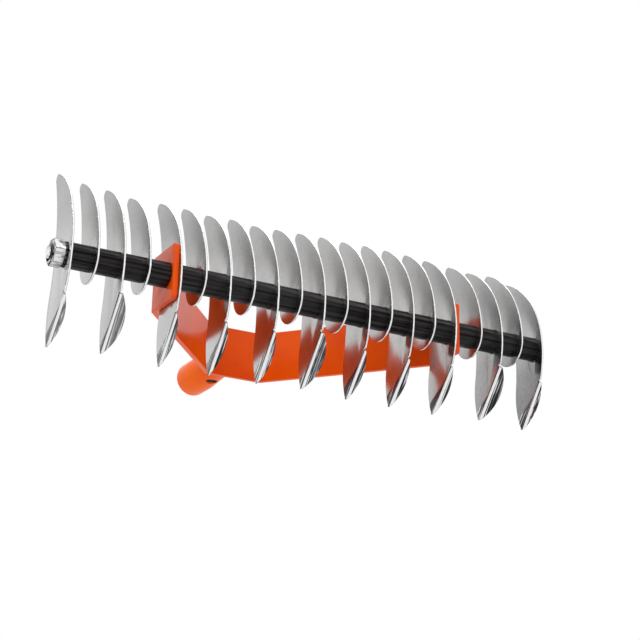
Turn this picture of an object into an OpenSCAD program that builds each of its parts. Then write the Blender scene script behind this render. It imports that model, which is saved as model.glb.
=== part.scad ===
// Head of a push-pull lawn aerator: long and short crescent blades on one clamped rod, in a strap bracket

/* [Blades] */
// Number of blades on the rod, long ones at both ends
blade_count = 21; // [15:2:21]
// Sheet thickness of a blade
blade_t = 1.5; // [1:0.1:2.5]
// Radius of a blade's outward curved front edge
front_r = 72; // [70:1:78]
// Radius of a blade's hollow back edge
back_r = 140; // [125:1:170]
// Distance from the rod's axis to the front edge
blade_front = 14; // [12:0.5:16]
// Distance from the rod's axis to the back edge
blade_back = 20; // [16:0.5:21]
// Rounding radius of the upper tip
tip_r = 3.5; // [2:0.5:4.5]
// Distance from the rod's axis down to a short blade's round end
heel_drop = 16; // [14:0.5:17]
// Centre of a long blade's toe curve, behind the rod's axis
toe_y = -34; // [-40:1:-28]
// Centre of a long blade's toe curve, below the rod's axis
toe_drop = 37; // [34:0.5:40]

/* [Folded flap of a long blade] */
// Where a narrow flap's fold starts on the front edge, below the rod's axis
fold_drop = 25; // [22:0.5:28]
// Where a wide flap's fold starts on the front edge, below the rod's axis
wide_fold_drop = 19; // [17:0.5:24]
// Angle of the fold line to the blade's height
fold_lean = 39; // [38:0.5:42]
// Angle by which the flap is bent out of the blade
flap_angle = 78; // [60:1:88]
// Inside radius of the fold
fold_r = 1.5; // [0.8:0.1:1.8]
// Width of a narrow flap before bending, at its widest
flap_w = 5.5; // [5:0.5:6.5]
// Width of a wide flap before bending, at its widest
wide_flap_w = 9; // [7:0.5:10]
// Length of the unbent shoulder above the flap
shoulder = 2.5; // [2:0.5:4]
// Width of the relief slot between shoulder and flap
relief = 1.5; // [0.8:0.1:2]

/* [Rod and spacers] */
// Diameter of the rod
rod_d = 10; // [8:0.5:12]
// Radial clearance of the pieces on the rod
rod_gap = 0.1; // [0.05:0.01:0.1]
// Length of a spacer
spacer_len = 17; // [14:0.5:22]
// Outside diameter of a spacer
spacer_d = 18; // [16:0.5:22]
// Wall thickness of a spacer
spacer_wall = 3.8; // [2.5:0.1:3.8]
// Pitch of the rod's thread
thread_pitch = 1.5; // [1:0.25:2]
// Depth of the rod's thread
thread_depth = 0.9; // [0.4:0.1:1]
// Length of the rod's chamfered end beyond the last crest
rod_lead = 1; // [0.5:0.1:1.4]
// Length of rod that stands out of the nut
rod_end = 2.1; // [1.5:0.1:14]
// Diameter of the rod's head
head_d = 17; // [14:0.5:20]
// Height of the rod's head
head_h = 2.2; // [1.5:0.1:4]
// Slope on the rim of the rod's head
head_slope = 1; // [0.4:0.1:1.2]

/* [Nut and washer] */
// Outside diameter of the toothed washer
lock_d = 17.5; // [16:0.5:22]
// Thickness of the toothed washer
lock_t = 1.2; // [0.8:0.1:2]
// Number of teeth on the toothed washer
lock_teeth = 16; // [8:1:24]
// Depth of the gaps between the teeth
tooth_depth = 1.8; // [1:0.1:2.2]
// Width of the nut across its flats
nut_flats = 17; // [15:0.5:22]
// Height of the nut
nut_h = 8; // [6:0.1:12]

/* [Bracket] */
// Blade beside each ear of the strap, counted from the rod's end
ear_blade = 5; // [3:1:6]
// Thickness of the strap
strap_t = 4; // [3:0.5:6]
// Width of the strap
strap_w = 40; // [30:1:50]
// Height of the strap's middle above the rod's axis
strap_rise = 1; // [0:0.5:3]
// Inside radius of the strap's bends
strap_bend_r = 2; // [2:0.5:6]
// Distance from the rod's axis to an ear's front edge
ear_front = 11; // [9:0.5:14]
// Rounding radius of an ear's front corners
ear_corner_r = 2.5; // [1:0.5:6]
// Clearance between an ear and the pieces on each side of it
ear_gap = 0.15; // [0.1:0.01:0.3]
// Angle by which the blades can tilt in the bracket each way
tilt = 4; // [2:0.5:8]
// Clearance left between blade and strap at the end of the tilt
tilt_gap = 0.4; // [0.3:0.1:1]
// Distance from the rod's axis to the front of the strap's middle
strap_reach = 133; // [110:1:160]
// Half the width of the strap's middle
strap_half = 21; // [16:1:30]

/* [Handle socket] */
// Distance from the rod's axis to the socket's mouth
mouth_reach = 217; // [190:1:240]
// Outside diameter of the socket at its mouth
mouth_d = 28; // [26:0.5:34]
// Outside diameter of the socket at the strap
root_d = 19; // [16:0.5:24]
// Wall thickness of the socket
socket_wall = 1.8; // [1.2:0.1:2.5]
// Length of the straight bore behind the mouth
mouth_len = 20; // [12:1:30]
// Diameter of the screw hole in the socket's underside
screw_d = 9; // [5:0.5:10]
// Distance from the socket's mouth to the screw hole
screw_back = 40; // [30:1:46]
// Leg of the weld between strap and socket
weld_leg = 3; // [2:0.5:4]

/* [Hidden] */
$fn = 128;

// Reach of the squares and bars that trim other shapes
far = 400;

// Amount by which a rounding's arc overruns the edges it joins, so that they meet cleanly
arc_cross = 0.02;

// Length by which a cut runs past the face it opens
over = 1;

// Lean of each blade about the rod as clamped, in degrees, from the left end
leans = [4, 1, 0, -2, -1, -1, -2, -1, -2, -1, 0, 1, 1, 2, 2, 2, 1, 0, -1, 0, -4];
function lean(i) = i <= len(leans) ? leans[i - 1] : 0;

// Long blades whose flap is wide and starts higher up
wide_flaps = [3, 11, 19];
function is_wide(i) = len(search(i, wide_flaps)) > 0;

rod_r = rod_d / 2;
bore_r = rod_r + rod_gap;
pitch = blade_t + spacer_len;
middle = (blade_count + 1) / 2;
left_ear = ear_blade;
right_ear = blade_count + 1 - ear_blade;
ear_room = strap_t + 2 * ear_gap;

function is_long(i) = i % 2 == 1;
function ear_shift(i) = i < left_ear ? -ear_room : i > right_ear ? ear_room : 0;
function blade_x(i) = (i - middle) * pitch + ear_shift(i);
function spacer_x(i) = i == right_ear
    ? blade_x(i + 1) - blade_t / 2 - spacer_len
    : blade_x(i) + blade_t / 2;

// Distances along the rod, from its middle: the outer faces of the end blades, then the nut's end of the rod
stack_end = blade_x(blade_count) + blade_t / 2;
nut_x = stack_end + lock_t;
nut_top = nut_x + nut_h;
thread_end = nut_top + rod_end;

// Outline of the rod from its head to its thread, with ring grooves in place of the thread
last_crest = thread_end - rod_lead;
thread_turns = floor((thread_end - stack_end) / thread_pitch);
thread_points = [for (k = [1 : thread_turns], side = [0, 1])
    [rod_r - side * thread_depth, last_crest - (thread_turns - k + side / 2) * thread_pitch]];
head_top = -stack_end - head_h;
head_points = [
    [0, head_top], [head_d / 2 - head_slope, head_top], [head_d / 2, head_top + head_slope],
    [head_d / 2, -stack_end], [rod_r, -stack_end],
];
rod_points = concat(head_points, thread_points, [[rod_r - thread_depth, thread_end], [0, thread_end]]);

nut_r = nut_flats / 2;
nut_corner_r = nut_flats / sqrt(3);
tooth_gap = tooth_depth / 2;

// Centres of a blade's edges, in the plane of the blade: back along x, up along y
front_c = front_r - blade_front;
back_c = back_r + blade_back;

// Centre of the upper tip's round, tangent to both edges
tip_reach = front_r - tip_r;
tip_span = back_r + tip_r;
tip_y = (tip_reach ^ 2 - tip_span ^ 2 - front_c ^ 2 + back_c ^ 2) / (2 * (back_c - front_c));
tip_z = sqrt(tip_reach ^ 2 - (tip_y - front_c) ^ 2);
tip_front = [tip_y, tip_z] + tip_r * ([tip_y, tip_z] - [front_c, 0]) / tip_reach;
tip_back = [tip_y, tip_z] + tip_r * ([back_c, 0] - [tip_y, tip_z]) / tip_span;
tip_turn = atan2(tip_back[1] - tip_front[1], tip_back[0] - tip_front[0]);

// Round end of a short blade, as wide as the blade at the rod
heel_r = (blade_front + blade_back) / 2;
heel_c = [heel_r - blade_front, heel_r - heel_drop];

// Toe of a long blade, tangent to the back edge
toe_c = [toe_y, -toe_drop];
toe_r = norm([back_c, 0] - toe_c) - back_r;
toe_top = toe_c[1] - toe_r * toe_c[1] / (toe_r + back_r);

// Direction of the fold line
fold_turn = fold_lean - 90;
fold_dir = [cos(fold_turn), sin(fold_turn)];
fold_mid_r = fold_r + blade_t / 2;
fold_use = fold_mid_r * flap_angle * PI / 180;
flap_top = shoulder + relief;

// Distance by which the flat sheet stops short of the fold, and of the toe
fold_seat = 0.3;
fold_tab = 3 * fold_seat;
fold_room = 4 * (fold_r + blade_t);

// Start of a fold on the front edge, at a drop below the rod's axis
function fold_start(drop) = [front_c - sqrt(front_r ^ 2 - drop ^ 2), -drop];

// Length of a fold line, from the front edge to the toe
function fold_end(drop) =
    let (off = fold_start(drop) - toe_c, along = off * fold_dir)
    sqrt(along ^ 2 - off * off + toe_r ^ 2) - along;

// Strap: the bends' centres, and the slant of the arm that joins them
ear_x = blade_x(right_ear) + blade_t / 2 + ear_gap;
worst_lean = tilt + max([for (i = [left_ear, right_ear]) abs(lean(i))]);
strap_top = strap_rise + strap_w / 2;
back_at_top = back_c - sqrt(back_r ^ 2 - strap_top ^ 2);
bend_start = back_at_top + strap_top * sin(worst_lean) + tilt_gap;
ear_bend = [ear_x - strap_bend_r, bend_start];
mid_bend = [strap_half, strap_reach - strap_bend_r];
arm_turn = atan2(ear_bend[0] - mid_bend[0], mid_bend[1] - ear_bend[1]);

// Socket radii and stations, back from the rod's axis
strap_back = strap_reach + strap_t;
mouth_r = mouth_d / 2;
root_r = root_d / 2;
cone_end = mouth_reach - mouth_len;
screw_y = mouth_reach - screw_back;

// Radius of the socket where the weld ends on it
weld_top_r = root_r + weld_leg * (mouth_r - root_r) / (cone_end - strap_back);

function numbered(name, i) = str(name, i < 10 ? "_0" : "_", i);
function blade_name(i) = numbered(is_long(i) ? "long_blade" : "short_blade", i);
function spacer_name(i) = numbered("spacer", i);

// The part's frame: origin in the socket's mouth, back along the handle is +Y
module from_rod() {
    translate([0, -mouth_reach, -strap_rise]) children();
}

// Stands a drawing of back and up on edge, with its thickness along the rod
module on_edge(thick) {
    rotate([90, 0, 90]) linear_extrude(thick) children();
}

module ring(outer_r, inner_r, thick) {
    on_edge(thick) difference() {
        circle(outer_r);
        circle(inner_r);
    }
}

// Half the plane, above the line
module upper_side() {
    translate([-far, 0]) square([2 * far, far]);
}

// Half the plane, in front of the middle of the back edge's circle
module front_side() {
    translate([back_c - far, -far]) square([far, 2 * far]);
}

module crescent() {
    intersection() {
        translate([front_c, 0]) circle(front_r);
        difference() {
            front_side();
            translate([back_c, 0]) circle(back_r);
        }
        union() {
            translate([tip_y, tip_z]) circle(tip_r + arc_cross);
            translate(tip_front) rotate(tip_turn) mirror([0, 1]) upper_side();
        }
    }
}

module short_outline() {
    intersection() {
        crescent();
        union() {
            translate(heel_c) circle(heel_r);
            translate([0, heel_c[1]]) upper_side();
        }
    }
}

module long_outline() {
    intersection() {
        crescent();
        union() {
            translate(toe_c) circle(toe_r + arc_cross);
            translate([0, toe_top]) upper_side();
        }
    }
}

// Part of a long blade's outline that stays flat
module long_flat(drop) {
    difference() {
        long_outline();
        translate(fold_start(drop)) rotate(fold_turn)
            translate([shoulder, fold_seat - far]) square([far, far]);
    }
}

// Space on the inside of the fold at a radius, with the flat sheet's side towards +X
module fold_space(r, more) {
    corner = [-r * tan(flap_angle / 2), -r];
    along_flap = [-cos(flap_angle), sin(flap_angle)];
    difference() {
        polygon([
            [fold_tab + more, -r],
            corner,
            corner + (fold_room + more) * along_flap,
            [fold_tab + more, fold_room + more],
        ]);
        corner_cut(r, -90 - flap_angle, flap_angle);
    }
}

// Flap with its fold and a tab inside the flat sheet: a bent strip, trimmed to an arc over the fold line
module folded_flap(drop, width) {
    axis_z = blade_t / 2 + fold_r;
    half = fold_end(drop) / 2;
    edge_r = (half ^ 2 + width ^ 2) / (2 * width);
    translate(concat(fold_start(drop), 0)) rotate([0, 0, fold_turn]) intersection() {
        translate([flap_top, 0, axis_z]) on_edge(2 * half - fold_seat - flap_top) difference() {
            fold_space(fold_r + blade_t, 0);
            fold_space(fold_r, over);
        }
        translate([0, 0, axis_z]) rotate([-flap_angle, 0, 0]) translate([0, 0, -axis_z])
            linear_extrude(2 * fold_room, center = true)
                translate([half, fold_use + edge_r - width]) circle(edge_r);
    }
}

module long_blade(drop, width) {
    rotate([90, 0, 90]) {
        translate([0, 0, -blade_t / 2]) linear_extrude(blade_t) difference() {
            long_flat(drop);
            circle(bore_r);
        }
        folded_flap(drop, width);
    }
}

module short_blade() {
    translate([-blade_t / 2, 0, 0]) on_edge(blade_t) difference() {
        short_outline();
        circle(bore_r);
    }
}

module blade(i) {
    color("silver") from_rod() translate([blade_x(i), 0, 0]) rotate([lean(i), 0, 0]) {
        if (is_wide(i)) long_blade(wide_fold_drop, wide_flap_w);
        else if (is_long(i)) long_blade(fold_drop, flap_w);
        else short_blade();
    }
}

module spacer(i) {
    color([0.08, 0.08, 0.09]) from_rod() translate([spacer_x(i), 0, 0])
        ring(spacer_d / 2, spacer_d / 2 - spacer_wall, spacer_len);
}

// Everything at the nut's end is drawn towards +X and mirrored to the left
module to_left() {
    from_rod() mirror([1, 0, 0]) children();
}

module rod() {
    color("gainsboro") to_left() rotate([0, 90, 0]) rotate_extrude() polygon(rod_points);
}

module toothed_washer() {
    color("slategray") to_left() translate([stack_end, 0, 0]) on_edge(lock_t) difference() {
        circle(lock_d / 2);
        circle(bore_r);
        for (k = [1 : lock_teeth]) rotate(k * 360 / lock_teeth)
            translate([lock_d / 2 - tooth_depth, -tooth_gap / 2]) square([lock_d, tooth_gap]);
    }
}

// Hexagon with its corners turned off on both faces
module rod_nut() {
    corner_h = (nut_corner_r - nut_r) / 2;
    color("gainsboro") to_left() translate([nut_x, 0, 0]) difference() {
        intersection() {
            on_edge(nut_h) circle(nut_corner_r, $fn = 6);
            rotate([0, 90, 0]) rotate_extrude() polygon([
                [0, 0], [nut_r, 0], [nut_corner_r, corner_h],
                [nut_corner_r, nut_h - corner_h], [nut_r, nut_h], [0, nut_h],
            ]);
        }
        translate([-over, 0, 0]) on_edge(nut_h + 2 * over) circle(bore_r);
    }
}

// Waste outside a rounded corner, about the rounding's centre, from one heading to the next
module corner_cut(r, from, sweep) {
    reach = 2 * r;
    rotate(from) difference() {
        polygon([
            [0, 0],
            [reach, 0],
            [reach, reach * tan(sweep / 2)],
            [reach * cos(sweep), reach * sin(sweep)],
        ]);
        circle(r + arc_cross);
    }
}

// Space on the inside of the strap at a radius from its bends' centres
module strap_space(r, low) {
    ear_corner = ear_bend + r * [1, tan(arm_turn / 2)];
    mid_corner = mid_bend + r * [tan(45 - arm_turn / 2), 1];
    difference() {
        polygon([
            [-ear_bend[0] - r, low],
            [ear_bend[0] + r, low],
            ear_corner,
            mid_corner,
            [-mid_corner[0], mid_corner[1]],
            [-ear_corner[0], ear_corner[1]],
        ]);
        for (side = [0, 1]) mirror([side, 0]) {
            translate(ear_bend) corner_cut(r, 0, arm_turn);
            translate(mid_bend) corner_cut(r, arm_turn, 90 - arm_turn);
        }
    }
}

// Corner of a bar outside its rounding, drawn from the corner inwards
module corner_waste(r) {
    difference() {
        translate([-over, -over]) square(r + over);
        translate([r, r]) circle(r);
    }
}

module ear_corners() {
    for (up = [0, 1]) mirror([0, 0, up]) translate([-far, -ear_front, -strap_w / 2])
        on_edge(2 * far) corner_waste(ear_corner_r);
}

module bracket_strap() {
    color("orangered") from_rod() difference() {
        translate([0, 0, strap_rise]) difference() {
            translate([0, 0, -strap_w / 2]) linear_extrude(strap_w) difference() {
                strap_space(strap_bend_r + strap_t, -ear_front);
                strap_space(strap_bend_r, -ear_front - over);
            }
            ear_corners();
        }
        translate([-far, 0, 0]) on_edge(2 * far) circle(bore_r);
    }
}

// Turns a drawing of radius and reach about the handle's line
module about_handle() {
    translate([0, 0, strap_rise]) rotate([-90, 0, 0]) rotate_extrude() children();
}

module handle_socket() {
    color("orangered") from_rod() difference() {
        about_handle() polygon([
            [root_r - socket_wall, strap_back], [root_r, strap_back],
            [mouth_r, cone_end], [mouth_r, mouth_reach],
            [mouth_r - socket_wall, mouth_reach], [mouth_r - socket_wall, cone_end],
        ]);
        translate([0, screw_y, strap_rise - mouth_d]) cylinder(h = mouth_d, d = screw_d);
    }
}

module socket_weld() {
    color("orangered") from_rod() about_handle() polygon([
        [root_r, strap_back], [root_r + weld_leg, strap_back], [weld_top_r, strap_back + weld_leg],
    ]);
}

bracket_strap();
handle_socket();
socket_weld();
rod();
toothed_washer();
rod_nut();
for (i = [1 : blade_count]) {
    blade(i);
}
for (i = [1 : blade_count - 1]) {
    spacer(i);
}
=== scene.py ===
import math

import bmesh
import bpy
from mathutils import Matrix, Vector


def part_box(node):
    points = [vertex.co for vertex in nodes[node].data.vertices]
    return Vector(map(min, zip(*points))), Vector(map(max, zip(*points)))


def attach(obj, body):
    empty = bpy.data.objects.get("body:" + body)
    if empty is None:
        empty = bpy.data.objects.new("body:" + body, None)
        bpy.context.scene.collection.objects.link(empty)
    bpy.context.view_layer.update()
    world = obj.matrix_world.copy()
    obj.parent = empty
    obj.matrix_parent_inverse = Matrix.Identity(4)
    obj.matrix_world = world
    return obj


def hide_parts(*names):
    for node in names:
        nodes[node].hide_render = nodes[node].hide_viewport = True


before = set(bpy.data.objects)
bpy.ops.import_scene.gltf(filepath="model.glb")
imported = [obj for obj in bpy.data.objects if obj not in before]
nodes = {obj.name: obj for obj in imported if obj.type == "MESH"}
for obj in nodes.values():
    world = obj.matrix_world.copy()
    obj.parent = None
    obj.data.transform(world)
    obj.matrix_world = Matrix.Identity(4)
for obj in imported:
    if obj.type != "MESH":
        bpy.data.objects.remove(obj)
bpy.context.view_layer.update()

MM = 0.001
# A point on the rod's axis, which runs along X
ROD = Vector((0, -0.217, -0.001))

# Camera fitted to the outlines of the blades in the photograph
CAMERA_PLACE = (-0.4883, -1.1354, -0.3754)
CAMERA_ANGLES = (28.17, 19.27, 1.26)
LENS = 86.66
SENSOR_WIDTH = 36
LIGHT_TARGET = (0, -0.18, 0)
FLOOR_Z = -0.65
FLOOR_SIZE = 40

BLADES = 21
PITCH = 18.5 * MM
# The first blade inside the left ear, and what an ear adds between its two blades
EAR_BLADE = 5
EAR_ROOM = 4.3 * MM
BLADE_T = 1.5 * MM
# Each blade's lean about the rod in degrees, from left to right
LEANS = [4, 1, 0, -2, -1, -1, -2, -1, -2, -1, 0, 1, 1, 2, 2, 2, 1, 0, -1, 0, -4]

# The long blades with a wide flap, and those whose flap takes a painted lit copy of the ground finish
WIDE_FLAPS = (3, 11, 19)
LIT_FLAPS = (1, 3)
# Fold of a long blade's flap: its start from the rod's axis, its direction and the way out of the blade
WIDE_FOLD_START = Vector((0, -11.45, -19)) * MM
FOLD_START = Vector((0, -9.52, -25)) * MM
FOLD_TURN = math.radians(39)
FLAP_ANGLE = math.radians(78)
FOLD_OUT = Vector((0, -math.cos(FOLD_TURN), -math.sin(FOLD_TURN)))
FLAP_OUT = math.sin(FLAP_ANGLE) * FOLD_OUT - Vector((math.cos(FLAP_ANGLE), 0, 0))

# Top of the facet ground on a long blade's toe: a corner on the back edge, and the way up from it
TOE_CORNER = Vector((0, 21.5, -51)) * MM
TOE_NORMAL = Vector((0, 0.54, 0.84))

# Places of a blade's finishes among its materials
SHEET, RIM, TOE, FLAP = range(4)
# What tells them: a normal along X on the left side, in the fold's crease and at the flap's least,
# how well a flap's face matches its way out, and how far a rim's face may lean
LEFT_SIDE = -0.99
CREASE = -0.94
TURNED_LEFT = -0.1
FLAP_MATCH = 0.97
RIM_LEAN = 0.2
# The blade of each kind that its copies are made from
WIDE_SAMPLE, NARROW_SAMPLE, SHORT_SAMPLE = 11, 13, 20

ROD_R = 5 * MM
THREAD_PITCH = 1.5 * MM
THREAD_ROOT_R = 4.15 * MM
THREAD_STEPS = 40
# Points of the cut thread that lie closer than this are joined
SLIVER = 0.03 * MM
HEAD_R = 8.5 * MM
SPACER_R = 9 * MM
SPACER_BORE_R = 5.2 * MM
# Turn in degrees from one spacer to the next
SPACER_TURN = 137.5
BAR_SIDES = 64
ROUND_SIDES = 96
# Radius that splits the socket's bore from its outside, and the socket's radius at the weld
SOCKET_SPLIT_R = 13 * MM
SOCKET_ROOT_R = 9.5 * MM


# Camera and light

def add_camera():
    """Stands where the photographer stood: to the left, in front of and below the head, looking up."""
    azimuth, elevation, roll = (math.radians(angle) for angle in CAMERA_ANGLES)
    forward = Vector((math.cos(elevation) * math.sin(azimuth),
                      math.cos(elevation) * math.cos(azimuth),
                      math.sin(elevation)))
    level = Vector((math.cos(azimuth), -math.sin(azimuth), 0))
    upright = level.cross(forward)
    right = math.cos(roll) * level + math.sin(roll) * upright
    up = math.cos(roll) * upright - math.sin(roll) * level
    data = bpy.data.cameras.new("camera")
    data.lens = LENS
    data.sensor_width = SENSOR_WIDTH
    data.clip_start = 0.01
    camera = bpy.data.objects.new("camera", data)
    bpy.context.scene.collection.objects.link(camera)
    turn = Matrix((right, up, -forward)).transposed().to_4x4()
    camera.matrix_world = Matrix.Translation(CAMERA_PLACE) @ turn
    bpy.context.scene.camera = camera


def add_soft_box(name, place, size, watts):
    """A square lamp that faces the head."""
    data = bpy.data.lights.new(name, "AREA")
    data.shape = "SQUARE"
    data.size = size
    data.energy = watts
    lamp = bpy.data.objects.new(name, data)
    bpy.context.scene.collection.objects.link(lamp)
    lamp.location = place
    lamp.rotation_euler = (Vector(LIGHT_TARGET) - Vector(place)).to_track_quat("-Z", "Y").to_euler()


def add_white_room():
    """White to the camera and in reflections, and a plain soft light on everything else."""
    world = bpy.data.worlds.new("white_room")
    bpy.context.scene.world = world
    world.use_nodes = True
    tree = world.node_tree
    tree.nodes.clear()
    rays = tree.nodes.new("ShaderNodeLightPath")
    white_share = rays.outputs["Is Camera Ray"]
    for ray in ("Is Glossy Ray", "Is Transmission Ray"):
        either = tree.nodes.new("ShaderNodeMath")
        either.operation = "MAXIMUM"
        tree.links.new(white_share, either.inputs[0])
        tree.links.new(rays.outputs[ray], either.inputs[1])
        white_share = either.outputs[0]
    soft = tree.nodes.new("ShaderNodeBackground")
    soft.inputs["Color"].default_value = (0.78, 0.785, 0.8, 1)
    white = tree.nodes.new("ShaderNodeBackground")
    white.inputs["Color"].default_value = (1, 1, 1, 1)
    mix = tree.nodes.new("ShaderNodeMixShader")
    tree.links.new(white_share, mix.inputs["Fac"])
    tree.links.new(soft.outputs[0], mix.inputs[1])
    tree.links.new(white.outputs[0], mix.inputs[2])
    out = tree.nodes.new("ShaderNodeOutputWorld")
    tree.links.new(mix.outputs[0], out.inputs["Surface"])


# Materials

class Finish:
    """A material with a Principled shader, and short calls for its grain, colour and bump."""

    def __init__(self, name, **constants):
        """The constants are inputs of the shader, with _ for a space."""
        self.material = bpy.data.materials.new(name)
        self.material.use_nodes = True
        self.tree = self.material.node_tree
        self.shader = self.tree.nodes["Principled BSDF"]
        for socket, value in constants.items():
            self.shader.inputs[socket.replace("_", " ")].default_value = value
        self.place = self.tree.nodes.new("ShaderNodeTexCoord").outputs["Object"]
        self.normal = None

    def stretched(self, scale, turn):
        """The place turned about the axes first, then stretched along them."""
        place = self.place
        for socket, value in (("Rotation", turn), ("Scale", scale)):
            mapping = self.tree.nodes.new("ShaderNodeMapping")
            mapping.inputs[socket].default_value = value
            self.tree.links.new(place, mapping.inputs["Vector"])
            place = mapping.outputs["Vector"]
        return place

    def along(self, axis):
        """The place along X, Y or Z, in metres."""
        split = self.tree.nodes.new("ShaderNodeSeparateXYZ")
        self.tree.links.new(self.place, split.inputs["Vector"])
        return split.outputs[axis]

    def openness(self, distance):
        """How far a spot lies open to its surroundings, from 0 in a crevice to 1."""
        shade = self.tree.nodes.new("ShaderNodeAmbientOcclusion")
        shade.inputs["Distance"].default_value = distance
        return shade.outputs["AO"]

    def noise(self, scale, detail=3, stretch=(1, 1, 1), rough=0.55, turn=(0, 0, 0)):
        texture = self.tree.nodes.new("ShaderNodeTexNoise")
        texture.inputs["Scale"].default_value = scale
        texture.inputs["Detail"].default_value = detail
        texture.inputs["Roughness"].default_value = rough
        self.tree.links.new(self.stretched(stretch, turn), texture.inputs["Vector"])
        return texture.outputs["Fac"]

    def levels(self, value, low, high, at=(0.35, 0.65)):
        """Runs from low to high while the value runs between the two marks."""
        span = self.tree.nodes.new("ShaderNodeMapRange")
        span.inputs["From Min"].default_value = at[0]
        span.inputs["From Max"].default_value = at[1]
        span.inputs["To Min"].default_value = low
        span.inputs["To Max"].default_value = high
        self.tree.links.new(value, span.inputs["Value"])
        return span.outputs["Result"]

    def product(self, a, b):
        return self.combine("MULTIPLY", a, b)

    def total(self, a, b):
        return self.combine("ADD", a, b)

    def combine(self, operation, a, b):
        math_node = self.tree.nodes.new("ShaderNodeMath")
        math_node.operation = operation
        self.tree.links.new(a, math_node.inputs[0])
        self.tree.links.new(b, math_node.inputs[1])
        return math_node.outputs[0]

    def colours(self, value, *stops):
        """A run of colours over the value, from (position, colour) stops."""
        ramp = self.tree.nodes.new("ShaderNodeValToRGB")
        elements = ramp.color_ramp.elements
        while len(elements) < len(stops):
            elements.new(0.5)
        for element, (position, colour) in zip(elements, stops):
            element.position = position
            element.color = (*colour, 1)
        self.tree.links.new(value, ramp.inputs["Fac"])
        return ramp.outputs["Color"]

    def set(self, socket, value):
        self.tree.links.new(value, self.shader.inputs[socket])

    def bump(self, height, strength, distance):
        """Adds a relief on top of the ones before it."""
        bump = self.tree.nodes.new("ShaderNodeBump")
        bump.inputs["Strength"].default_value = strength
        bump.inputs["Distance"].default_value = distance
        self.tree.links.new(height, bump.inputs["Height"])
        if self.normal is not None:
            self.tree.links.new(self.normal, bump.inputs["Normal"])
        self.normal = bump.outputs["Normal"]
        self.tree.links.new(self.normal, self.shader.inputs["Normal"])


def rolled_steel():
    """Cold-rolled sheet with rolling lines and scuffs, dull above the rod and polished below it.

    Towards the right end it is darker below the rod: a painted shade, as the light falls from the left.
    """
    steel = Finish("rolled_blade_steel", Metallic=1.0)
    mottle = steel.noise(420, 4)
    lines = steel.noise(60, 3, (1, 40, 1.2))
    cloud = steel.noise(14, 2)
    tone = steel.total(steel.levels(mottle, -0.06, 0.06), steel.levels(cloud, 0.62, 0.82))
    # Painted shade: below the rod, the blades darken towards the right end.
    right_end_painted_shade = steel.levels(steel.along("X"), 0, -0.55, (0.08, 0.18))
    below_rod_for_shade = steel.levels(steel.along("Z"), 1, 0, (-0.02, 0.01))
    steel.set("Base Color", steel.colours(
        steel.total(tone, steel.product(right_end_painted_shade, below_rod_for_shade)),
        (0.05, (0.21, 0.21, 0.21)), (0.58, (0.43, 0.43, 0.43)), (0.86, (0.53, 0.53, 0.525))))
    scuffs = steel.levels(steel.noise(95, 5, (1, 1, 0.25), 0.7), 0, 0.05, (0.58, 0.72))
    polish = steel.levels(steel.along("Z"), 0.18, 0.48, (0.006, 0.034))
    base = steel.total(steel.levels(lines, 0, 0.04), polish)
    steel.set("Roughness", steel.total(base, scuffs))
    steel.bump(lines, 0.025, 0.03 * MM)
    steel.bump(mottle, 0.06, 0.03 * MM)
    return steel.material


def sheared_edge_and_highlight():
    """The cut rim of a blade and the outside of its fold, with shear marks across the sheet. Their
    near-white colour is partly bare cut steel and partly a painted highlight.
    """
    edge = Finish("sheared_blade_edge_and_highlight", Metallic=1.0)
    marks = edge.noise(700, 3, (0.15, 1, 1))
    # Painted highlight: a near-white base on the rims and on the outside of the fold.
    edge.set("Base Color", edge.colours(marks, (0.3, (0.88, 0.88, 0.87)), (0.7, (0.97, 0.97, 0.96))))
    edge.set("Roughness", edge.levels(marks, 0.2, 0.3))
    edge.bump(marks, 0.1, 0.03 * MM)
    return edge.material


def ground_face(name, deep, middle):
    """The ground outside of a flap or of a toe, with a few bright scratches along the fold that are
    partly painted glints. The deep and middle colours paint its light and shade: dark for the shade and
    dark reflection on the face, paler for a lit copy.
    """
    ground = Finish(name, Metallic=1.0)
    marks = ground.noise(330, 3, (3, 3, 0.06), 0.6, (-FOLD_TURN, 0, 0))
    cloud = ground.noise(45, 2)
    tone = ground.total(ground.levels(marks, 0, 0.85), ground.levels(cloud, -0.1, 0.15))
    ground.set("Base Color", ground.colours(
        tone, (0.3, deep), (0.6, middle), (0.8, (0.85, 0.85, 0.85))))
    ground.set("Roughness", ground.levels(marks, 0.32, 0.2))
    ground.bump(marks, 0.3, 0.1 * MM)
    return ground.material


def zinc_plate(name, shade, bright):
    """Zinc on the rod, nut and washer: uneven plating, scratches and painted shade in every crevice."""
    zinc = Finish(name, Metallic=1.0)
    cloud = zinc.noise(130, 2)
    patch = zinc.noise(420, 3, (0.35, 1, 1.6), 0.6)
    fine = zinc.noise(1500, 2)
    worn = zinc.product(
        zinc.levels(cloud, 0.6, 1, (0.4, 0.55)), zinc.levels(patch, 0.68, 1, (0.4, 0.5)))
    # Painted shade: each crevice darkened by how open the spot is.
    crevice_painted_shade = zinc.levels(zinc.openness(2.4 * MM), 0, 1, (0.6, 1))
    zinc.set("Base Color", zinc.colours(
        zinc.product(worn, crevice_painted_shade), (0, (0.02, 0.02, 0.022)), (0.5, shade), (0.95, bright)))
    zinc.set("Roughness", zinc.total(zinc.levels(patch, 0.34, 0.29), zinc.levels(fine, 0, 0.06)))
    zinc.bump(patch, 0.06, 0.06 * MM)
    zinc.bump(fine, 0.15, 0.03 * MM)
    return zinc.material


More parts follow.
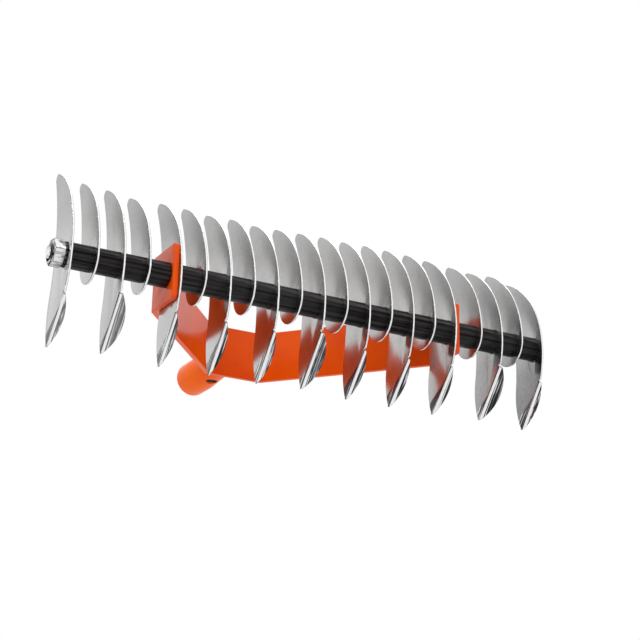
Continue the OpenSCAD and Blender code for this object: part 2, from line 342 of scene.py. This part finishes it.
def black_tube():
    """Gloss black tube: drawn streaks along its length, with a soft haze of fine scratches and dust."""
    black = Finish("gloss_black_tube", IOR=1.42)
    streaks = black.noise(55, 4, (0.12, 9, 9), 0.65)
    haze = black.noise(300, 4, (0.3, 1, 1))
    black.set("Base Color", black.colours(
        haze, (0.35, (0.004, 0.003, 0.003)), (0.7, (0.011, 0.008, 0.0075))))
    black.set("Specular IOR Level", black.levels(streaks, 0.03, 0.68, (0.38, 0.68)))
    black.set("Roughness", black.total(black.levels(streaks, 0.16, 0.42), black.levels(haze, 0, 0.08)))
    black.bump(streaks, 0.5, 0.15 * MM)
    black.bump(haze, 0.08, 0.02 * MM)
    return black.material


def orange_enamel(name, thin, thick, gloss):
    """Sprayed gloss enamel: soft orange peel, a slight run of colour and a few dull rubs."""
    enamel = Finish(name, IOR=1.5, Specular_IOR_Level=gloss)
    cloud = enamel.noise(25, 3)
    peel = enamel.noise(520, 2)
    rubs = enamel.levels(enamel.noise(70, 5, (1, 1, 1), 0.7), 0, 0.2, (0.6, 0.78))
    enamel.set("Base Color", enamel.colours(cloud, (0.3, thick), (0.7, thin)))
    enamel.set("Roughness", enamel.total(enamel.levels(peel, 0.17, 0.23), rubs))
    enamel.bump(peel, 0.06, 0.05 * MM)
    enamel.bump(cloud, 0.2, 0.3 * MM)
    return enamel.material


def dark_bore():
    """The inside of the socket: dark, with drawing lines."""
    bore = Finish("dark_socket_bore", Metallic=0.4, IOR=1.3)
    lines = bore.noise(90, 3, (6, 0.4, 6))
    bore.set("Base Color", bore.colours(
        lines, (0.3, (0.035, 0.028, 0.024)), (0.7, (0.09, 0.07, 0.06))))
    bore.set("Roughness", bore.levels(lines, 0.6, 0.8))
    bore.bump(lines, 0.2, 0.1 * MM)
    return bore.material


def floor_paper():
    """Plain pale paper with a faint grain."""
    paper = Finish("floor_paper", Roughness=0.9)
    grain = paper.noise(120, 4)
    paper.set("Base Color", paper.colours(grain, (0.3, (0.8, 0.8, 0.8)), (0.7, (0.84, 0.84, 0.84))))
    paper.bump(grain, 0.05, 0.3 * MM)
    return paper.material


# Modelling helpers

def deselect_all():
    if bpy.context.object is not None and bpy.context.object.mode != "OBJECT":
        bpy.ops.object.mode_set(mode="OBJECT")
    bpy.ops.object.select_all(action="DESELECT")


def work_on(piece):
    deselect_all()
    piece.select_set(True)
    bpy.context.view_layer.objects.active = piece


def edit(piece):
    """Opens a piece for editing, with all of it selected."""
    work_on(piece)
    bpy.ops.object.mode_set(mode="EDIT")
    bpy.ops.mesh.select_all(action="SELECT")


def stop_editing():
    bpy.ops.object.mode_set(mode="OBJECT")


def new_piece(name):
    """Names the primitive that was just added, and puts its place into its mesh."""
    piece = bpy.context.object
    piece.name = name
    piece.data.name = name
    bpy.ops.object.transform_apply(location=True, rotation=True, scale=True)
    return piece


def pick_faces(test):
    """Selects the edited faces whose normal passes the test."""
    bpy.ops.mesh.select_mode(type="FACE")
    bpy.ops.mesh.select_all(action="DESELECT")
    data = bpy.context.object.data
    mesh = bmesh.from_edit_mesh(data)
    for face in mesh.faces:
        face.select_set(test(face.normal))
    bmesh.update_edit_mesh(data)


def apply_modifier(piece, kind, **settings):
    work_on(piece)
    bpy.ops.object.modifier_add(type=kind)
    modifier = piece.modifiers[-1]
    for setting, value in settings.items():
        setattr(modifier, setting, value)
    bpy.ops.object.modifier_apply(modifier=modifier.name)


def round_edges(piece, width, segments=2, angle=35, finish=-1):
    """Eases each edge sharper than the angle. At -1 the new faces take their neighbours' finish."""
    apply_modifier(piece, "BEVEL", width=width, segments=segments, limit_method="ANGLE",
                   angle_limit=math.radians(angle), material=finish, use_clamp_overlap=False,
                   profile=0.6)


def smooth(piece, angle=35):
    work_on(piece)
    bpy.ops.object.shade_smooth_by_angle(angle=math.radians(angle))


def merged_copy(node, name, join=0.002 * MM):
    """A CAD node's shape as a new piece, with its triangles joined into whole faces.

    Points that lie closer than the join are made one.
    """
    piece = bpy.data.objects.new(name, nodes[node].data.copy())
    piece.data.name = name
    piece.data.materials.clear()
    bpy.context.scene.collection.objects.link(piece)
    work_on(piece)
    bpy.ops.mesh.customdata_custom_splitnormals_clear()
    edit(piece)
    bpy.ops.mesh.remove_doubles(threshold=join)
    bpy.ops.mesh.dissolve_limited(angle_limit=math.radians(0.6))
    stop_editing()
    return piece


def own_copy(piece, name, place):
    """A copy with a mesh of its own, moved to its place."""
    copy = bpy.data.objects.new(name, piece.data.copy())
    copy.data.name = name
    bpy.context.scene.collection.objects.link(copy)
    copy.data.transform(place)
    return copy


def round_bar(name, left, right, radius, sides):
    """A plain cylinder on the rod's axis, between two places along it."""
    deselect_all()
    bpy.ops.mesh.primitive_cylinder_add(
        vertices=sides, radius=radius, depth=right - left,
        location=ROD + Vector(((left + right) / 2, 0, 0)), rotation=(0, math.radians(90), 0))
    return new_piece(name)


def about_rod(angle, shift=0):
    """A turn in degrees about the rod's axis, then a shift along it."""
    return (Matrix.Translation((shift, 0, 0)) @ Matrix.Translation(ROD)
            @ Matrix.Rotation(math.radians(angle), 4, "X") @ Matrix.Translation(-ROD))


def fit(piece, body, slot, *replaced):
    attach(piece, body)
    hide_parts(*replaced)


# Blades

def is_long(i):
    return i % 2 == 1


def blade_x(i):
    """A blade's place along the rod, further out by the ear's room outside an ear."""
    ear_shift = 0
    if i < EAR_BLADE:
        ear_shift = -EAR_ROOM
    elif i > BLADES + 1 - EAR_BLADE:
        ear_shift = EAR_ROOM
    return (i - (BLADES + 1) / 2) * PITCH + ear_shift


def blade_name(i):
    return ("long_blade_%02d" if is_long(i) else "short_blade_%02d") % i


def add_ground_toe(blade):
    """Parts the end of the toe from the blade's left face, along the top of its ground facet."""
    edit(blade)
    pick_faces(lambda normal: normal.x < LEFT_SIDE)
    bpy.ops.mesh.bisect(plane_co=ROD + TOE_CORNER, plane_no=TOE_NORMAL)
    stop_editing()


def folded_finish(normal):
    """The finish of a face past the fold's start."""
    if normal.x < CREASE:
        return TOE
    if normal.x < TURNED_LEFT and normal.dot(FLAP_OUT) > FLAP_MATCH:
        return FLAP
    return RIM


def blade_finish(face, fold_start):
    """The finish of a face of an upright blade. Only a long blade has a fold's start."""
    place = face.center - ROD
    if fold_start:
        if place.z < fold_start.z and (place - fold_start).dot(FOLD_OUT) > -0.05 * MM:
            return folded_finish(face.normal)
        if face.normal.x < LEFT_SIDE and (place - TOE_CORNER).dot(TOE_NORMAL) < 0:
            return TOE
    in_bore = math.hypot(place.y, place.z) < ROD_R + 1 * MM
    return RIM if abs(face.normal.x) < RIM_LEAN and not in_bore else SHEET


def finished_blade(i, finishes, fold_start=None):
    """A copy of one blade, upright at the rod's middle, with its finishes and eased edges."""
    blade = merged_copy(blade_name(i), "blade_master")
    blade.data.transform(about_rod(-LEANS[i - 1]) @ Matrix.Translation((-blade_x(i), 0, 0)))
    if fold_start:
        add_ground_toe(blade)
    for finish in finishes:
        blade.data.materials.append(finish)
    for face in blade.data.polygons:
        face.material_index = blade_finish(face, fold_start)
    # The eased edges take the dark ground finish: painted shade along each edge.
    round_edges(blade, 0.24 * MM, finish=TOE)
    smooth(blade)
    return blade


def add_blades(finishes, lit_flap_copy):
    """All blades, as turned copies of one of each kind."""
    wide = finished_blade(WIDE_SAMPLE, finishes, WIDE_FOLD_START)
    narrow = finished_blade(NARROW_SAMPLE, finishes, FOLD_START)
    short = finished_blade(SHORT_SAMPLE, finishes)
    for i in range(1, BLADES + 1):
        if i in WIDE_FLAPS:
            master = wide
        else:
            master = narrow if is_long(i) else short
        blade = own_copy(master, "steel_" + blade_name(i), about_rod(LEANS[i - 1], blade_x(i)))
        # Painted light: these flaps take the lit copy of the ground finish.
        if i in LIT_FLAPS:
            blade.data.materials[FLAP] = lit_flap_copy
        fit(blade, "blade_gang", "blade_steel", blade_name(i))
    for master in (wide, narrow, short):
        bpy.data.objects.remove(master)


# Spacers, rod, nut and washer

def spacer_span(i):
    """Both ends of a spacer along the rod, from its CAD node."""
    low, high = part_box("spacer_%02d" % i)
    return low.x, high.x


def add_spacers(black):
    """The tubes between the blades, each turned so that its streaks lie elsewhere."""
    left, right = spacer_span(1)
    half = (right - left) / 2
    master = round_bar("tube_master", -half, half, SPACER_R, ROUND_SIDES)
    edit(master)
    pick_faces(lambda normal: abs(normal.x) > 0.9)
    bpy.ops.mesh.inset(thickness=SPACER_R - SPACER_BORE_R, use_individual=True)
    bpy.ops.mesh.bridge_edge_loops()
    stop_editing()
    round_edges(master, 0.35 * MM, segments=3)
    smooth(master)
    master.data.materials.append(black)
    for i in range(1, BLADES):
        left, right = spacer_span(i)
        place = about_rod(SPACER_TURN * i, (left + right) / 2)
        tube = own_copy(master, "black_spacer_%02d" % i, place)
        fit(tube, "blade_gang", "black_spacer", "spacer_%02d" % i)
    bpy.data.objects.remove(master)


def rod_bar(name, left, right, radius, chamfer):
    """A round bar on the rod's axis, chamfered at both ends."""
    bar = round_bar(name, left, right, radius, BAR_SIDES)
    round_edges(bar, chamfer, segments=1, angle=60)
    return bar


def threaded_end(name, left, right):
    """The rod's end with its helical thread, cut to length and chamfered."""
    turns = int((right - left) / THREAD_PITCH) + 3
    start = left - 1.5 * THREAD_PITCH
    flat = THREAD_PITCH / 8
    # One turn's profile: its corners, with the groove's first, and which of them each side joins
    corners = [(0, THREAD_ROOT_R), (THREAD_PITCH - flat, THREAD_ROOT_R),
               (THREAD_PITCH / 2 - flat / 2, ROD_R), (THREAD_PITCH / 2 + flat / 2, ROD_R),
               (THREAD_PITCH, THREAD_ROOT_R)]
    sides = [(2, 0), (1, 4), (1, 3), (3, 2)]
    deselect_all()
    bpy.ops.mesh.primitive_plane_add(size=1)
    thread = new_piece(name)
    edit(thread)
    bpy.ops.mesh.delete(type="VERT")
    stop_editing()
    # Opened anew, so that the new points keep their order
    edit(thread)
    mesh = bmesh.from_edit_mesh(thread.data)
    points = [mesh.verts.new((start + along, ROD.y, ROD.z + radius)) for along, radius in corners]
    for first, second in sides:
        mesh.edges.new((points[first], points[second]))
    bmesh.update_edit_mesh(thread.data)
    stop_editing()
    thread.data.transform(Matrix.Translation(-ROD))
    apply_modifier(thread, "SCREW", axis="X", angle=math.radians(360), screw_offset=THREAD_PITCH,
                   iterations=turns, steps=THREAD_STEPS, render_steps=THREAD_STEPS,
                   use_merge_vertices=True, merge_threshold=0.01 * MM, use_normal_calculate=True)
    thread.data.transform(Matrix.Translation(ROD))
    edit(thread)
    bpy.ops.mesh.remove_doubles(threshold=0.01 * MM)
    bpy.ops.mesh.bisect(plane_co=(left, 0, 0), plane_no=(1, 0, 0), use_fill=True, clear_inner=True)
    bpy.ops.mesh.select_all(action="SELECT")
    bpy.ops.mesh.bisect(plane_co=(right, 0, 0), plane_no=(1, 0, 0), use_fill=True, clear_outer=True)
    bpy.ops.mesh.select_all(action="SELECT")
    bpy.ops.mesh.normals_make_consistent(inside=False)
    stop_editing()
    blank = rod_bar(name + "_blank", left, right + 1 * MM, ROD_R + 0.001 * MM, 0.9 * MM)
    apply_modifier(thread, "BOOLEAN", operation="INTERSECT", object=blank, solver="EXACT")
    bpy.data.objects.remove(blank)
    edit(thread)
    bpy.ops.mesh.remove_doubles(threshold=SLIVER)
    bpy.ops.mesh.dissolve_degenerate(threshold=SLIVER)
    stop_editing()
    smooth(thread, angle=40)
    return thread


def add_rod(zinc):
    """The rod in two meshes: its plain length with the round head, and its threaded end."""
    low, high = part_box("rod")
    stack_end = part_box(blade_name(BLADES))[0].x + BLADE_T
    shank = rod_bar("rod_shank", -stack_end, stack_end, ROD_R - 0.05 * MM, 0.2 * MM)
    head = round_bar("rod_head", stack_end, high.x, HEAD_R, ROUND_SIDES)
    edit(head)
    pick_faces(lambda normal: normal.x > 0.9)
    bpy.ops.mesh.bevel(offset=1 * MM, segments=5)
    stop_editing()
    apply_modifier(head, "BOOLEAN", operation="UNION", object=shank, solver="EXACT")
    bpy.data.objects.remove(shank)
    smooth(head)
    thread = threaded_end("rod_thread", low.x, -stack_end)
    for piece in (head, thread):
        piece.data.materials.clear()
        piece.data.materials.append(zinc)
        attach(piece, "blade_gang")
    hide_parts("rod")


def add_fastener(node, body, join, ease, zinc, zinc_edge_shade):
    """The nut or the washer, with eased edges in painted shade that keep to its length."""
    piece = merged_copy(node, "plated_" + node, join)
    piece.data.materials.append(zinc)
    piece.data.materials.append(zinc_edge_shade)
    round_edges(piece, ease, angle=25, finish=1)
    low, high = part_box(node)
    for point in piece.data.vertices:
        point.co.x = min(max(point.co.x, low.x), high.x)
    smooth(piece)
    fit(piece, body, "bright_zinc", node)


# Bracket

def add_strap(orange):
    """The bent bar, with its rolled edges eased."""
    strap = merged_copy("bracket_strap", "painted_strap")
    round_edges(strap, 0.7 * MM, segments=3)
    smooth(strap)
    strap.data.materials.append(orange)
    fit(strap, "bracket", "orange_paint", "bracket_strap")


def add_socket(orange, bore):
    """The socket, painted outside and dark in its bore."""
    socket = merged_copy("handle_socket", "painted_socket")
    socket.data.materials.append(orange)
    socket.data.materials.append(bore)
    for face in socket.data.polygons:
        outwards = Vector((face.center.x, 0, face.center.z))
        faces_in = face.normal.dot(outwards) < -2 * MM
        face.material_index = int(outwards.length < SOCKET_SPLIT_R and faces_in)
    round_edges(socket, 0.5 * MM, segments=3)
    smooth(socket)
    fit(socket, "bracket", "orange_paint", "handle_socket")


def add_weld(orange):
    """A bead of overlapping ripples where the socket meets the strap."""
    low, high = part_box("socket_weld")
    ripples = 34
    bead_r = (high.x + SOCKET_ROOT_R) / 2 - 0.4 * MM
    bead_y = low.y + 0.9 * MM
    deselect_all()
    bpy.ops.mesh.primitive_uv_sphere_add(segments=16, ring_count=12, radius=1, location=(0, 0, 0))
    ripple = new_piece("ripple")
    ripple.data.transform(Matrix.Diagonal((1.9 * MM, 1.5 * MM, 1.15 * MM, 1)))
    lean_in = Matrix.Rotation(math.radians(45), 4, "Z")
    beads = []
    for k in range(ripples):
        turn = Matrix.Rotation(2 * math.pi * k / ripples, 4, "Y")
        place = (Matrix.Translation((0, bead_y, 0)) @ turn
                 @ Matrix.Translation((bead_r, 0, 0)) @ lean_in)
        beads.append(own_copy(ripple, "bead_%02d" % k, place))
    bpy.data.objects.remove(ripple)
    deselect_all()
    for bead in beads:
        bead.select_set(True)
    bpy.context.view_layer.objects.active = beads[0]
    bpy.ops.object.join()
    weld = bpy.context.object
    weld.name = "painted_weld"
    weld.data.name = "painted_weld"
    apply_modifier(weld, "REMESH", mode="VOXEL", voxel_size=0.28 * MM, adaptivity=0)
    apply_modifier(weld, "SMOOTH", factor=0.5, iterations=3)
    smooth(weld, angle=60)
    weld.data.materials.clear()
    weld.data.materials.append(orange)
    fit(weld, "bracket", "orange_paint", "socket_weld")


def add_floor(paper):
    deselect_all()
    bpy.ops.mesh.primitive_plane_add(size=FLOOR_SIZE, location=(0, 0, FLOOR_Z))
    floor = new_piece("floor")
    floor.data.materials.append(paper)


add_camera()
add_white_room()
add_soft_box("key_box", (-1.5, -1.9, 3.4), 2.6, 60)
add_soft_box("fill_box", (1.8, 1.2, 3.2), 2.0, 16)

orange = orange_enamel(
    "orange_gloss_enamel", (0.88, 0.095, 0.0015), (0.75, 0.063, 0.001), 0.17)
# Painted light: a brighter, yellower and less glossy copy of the orange enamel for the socket.
socket_orange_lit = orange_enamel(
    "orange_socket_enamel_lit", (0.97, 0.15, 0.003), (0.9, 0.11, 0.002), 0.06)
zinc = zinc_plate("bright_zinc_plate", (0.25, 0.25, 0.26), (0.88, 0.88, 0.87))
# Painted shade: a dark copy of the zinc for the eased edges of the nut and washer.
zinc_edge_shade = zinc_plate("zinc_edge_painted_shade", (0.03, 0.03, 0.032), (0.12, 0.12, 0.12))
add_floor(floor_paper())
# Painted shade: the dark ground finish of the flaps, the toes and the eased blade edges.
ground = ground_face("ground_blade_face_painted_shade", (0.025, 0.025, 0.028), (0.13, 0.13, 0.135))
# Painted light: a paler copy of the ground finish for the flaps that catch the light.
lit_flap_copy = ground_face("bright_flap_face", (0.16, 0.16, 0.165), (0.55, 0.55, 0.55))
add_blades([rolled_steel(), sheared_edge_and_highlight(), ground, ground], lit_flap_copy)
add_spacers(black_tube())
add_rod(zinc)
add_fastener("rod_nut", "nut", 0.15 * MM, 0.25 * MM, zinc, zinc_edge_shade)
add_fastener("toothed_washer", "blade_gang", 0.002 * MM, 0.15 * MM, zinc, zinc_edge_shade)
add_strap(orange)
add_socket(socket_orange_lit, dark_bore())
add_weld(orange)

bpy.context.scene.view_settings.view_transform = "Standard"
bpy.context.view_layer.update()
